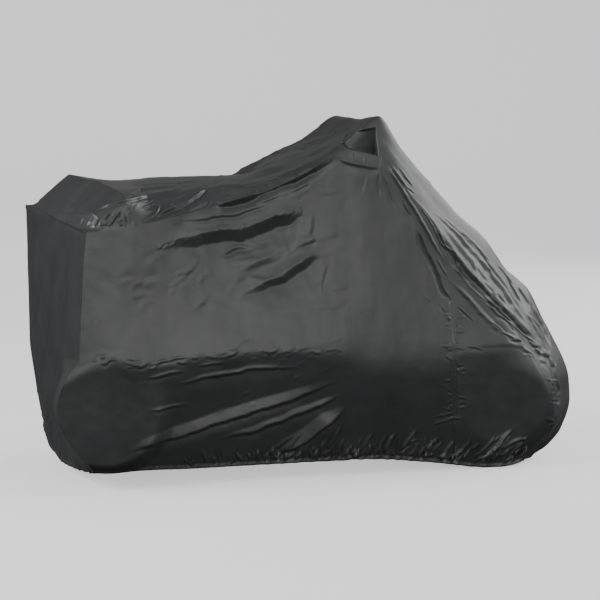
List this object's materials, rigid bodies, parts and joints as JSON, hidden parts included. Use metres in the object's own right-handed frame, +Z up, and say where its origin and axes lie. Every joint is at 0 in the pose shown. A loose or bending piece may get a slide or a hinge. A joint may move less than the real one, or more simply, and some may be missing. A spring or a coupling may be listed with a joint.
{
  "type": "all-terrain vehicle cover",
  "caption": "Fitted cloth cover for an all-terrain vehicle, draped over rack, seat, handlebars and nose, with an elastic gathered hem drawn in under the wheels.",
  "frame": {"origin": "under the middle of the cover, level with its lowest hem", "axes": "+X towards the front of the covered vehicle, +Y to its left, +Z up"},
  "size_m": [2.152, 0.9718, 1.3676],
  "materials": {
    "side_cloth": "charcoal coated polyester taffeta, slight sheen",
    "top_cloth": "charcoal coated polyester taffeta, slight sheen",
    "end_cloth": "charcoal coated polyester taffeta, slight sheen"
  },
  "bodies": {
    "root": {"side_panel_right": "side_cloth", "front_panel_right": "side_cloth", "side_panel_left": "side_cloth", "front_panel_left": "side_cloth", "top_panel": "top_cloth", "rear_panel": "end_cloth"}
  },
  "joints": []
}
